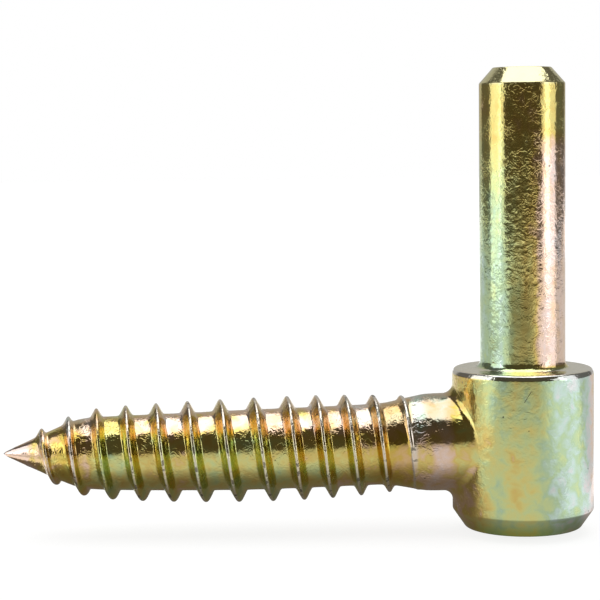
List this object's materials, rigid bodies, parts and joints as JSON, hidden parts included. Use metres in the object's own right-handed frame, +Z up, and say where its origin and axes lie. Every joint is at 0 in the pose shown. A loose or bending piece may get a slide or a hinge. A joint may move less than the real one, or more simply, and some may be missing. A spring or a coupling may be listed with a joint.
{
  "type": "screw-in gate hinge pin",
  "caption": "Upright round hinge pin on a round boss with a seat, and a coarse wood screw that leaves the boss at a right angle.",
  "frame": {"origin": "centre of the seat, the flat top of the boss, on the pin's axis", "axes": "+Z up the pin, -X towards the wood screw's point, which lies 1.2 degrees below -X, +Y across, with the outline the same on both sides"},
  "size_m": [0.1116, 0.0266, 0.0864],
  "materials": {
    "yellow_zinc": "glossy yellow-passivated zinc plating with a faint rainbow of gold, green, teal and pink"
  },
  "bodies": {
    "root": {"hinge_pin": "yellow_zinc"}
  },
  "joints": []
}
